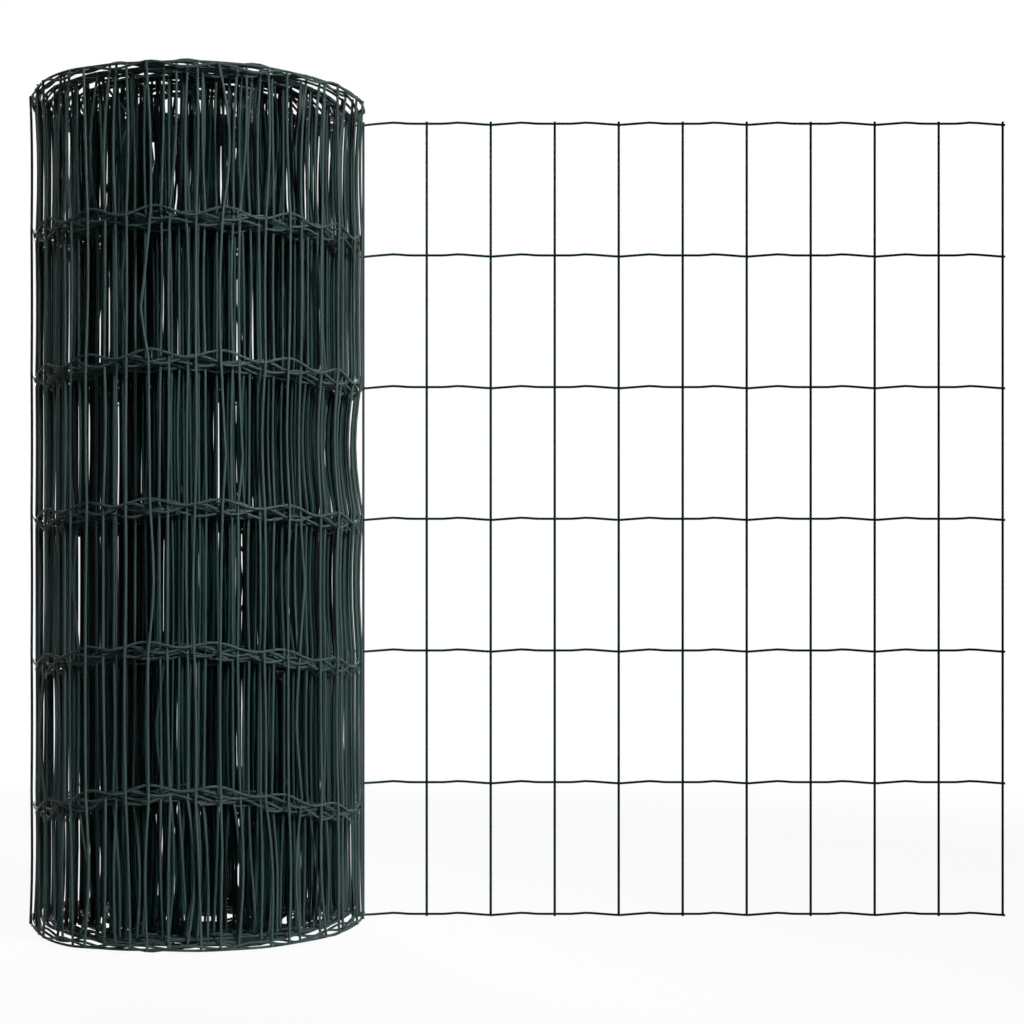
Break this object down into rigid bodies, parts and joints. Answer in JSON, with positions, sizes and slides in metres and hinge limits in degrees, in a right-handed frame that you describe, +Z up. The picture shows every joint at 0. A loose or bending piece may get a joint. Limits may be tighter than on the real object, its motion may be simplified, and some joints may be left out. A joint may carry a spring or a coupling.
{
  "type": "roll of wire fencing",
  "caption": "Roll of green coated welded wire fencing standing on end, with crimped line wires, an open core and its free end unrolled flat beside it.",
  "frame": {"origin": "on the axis of the roll's open core, at the floor that the roll stands on", "axes": "+Z up along the core, +X along the unrolled free end, +Y away from the side that the roll is seen from"},
  "size_m": [0.7234, 0.243, 0.6072],
  "materials": {
    "coated_wire": "dark green PVC coating over galvanised steel wire, satin"
  },
  "bodies": {
    "root": {"wound_roll": "coated_wire", "peel_bend": "coated_wire", "free_end": "coated_wire"}
  },
  "joints": []
}
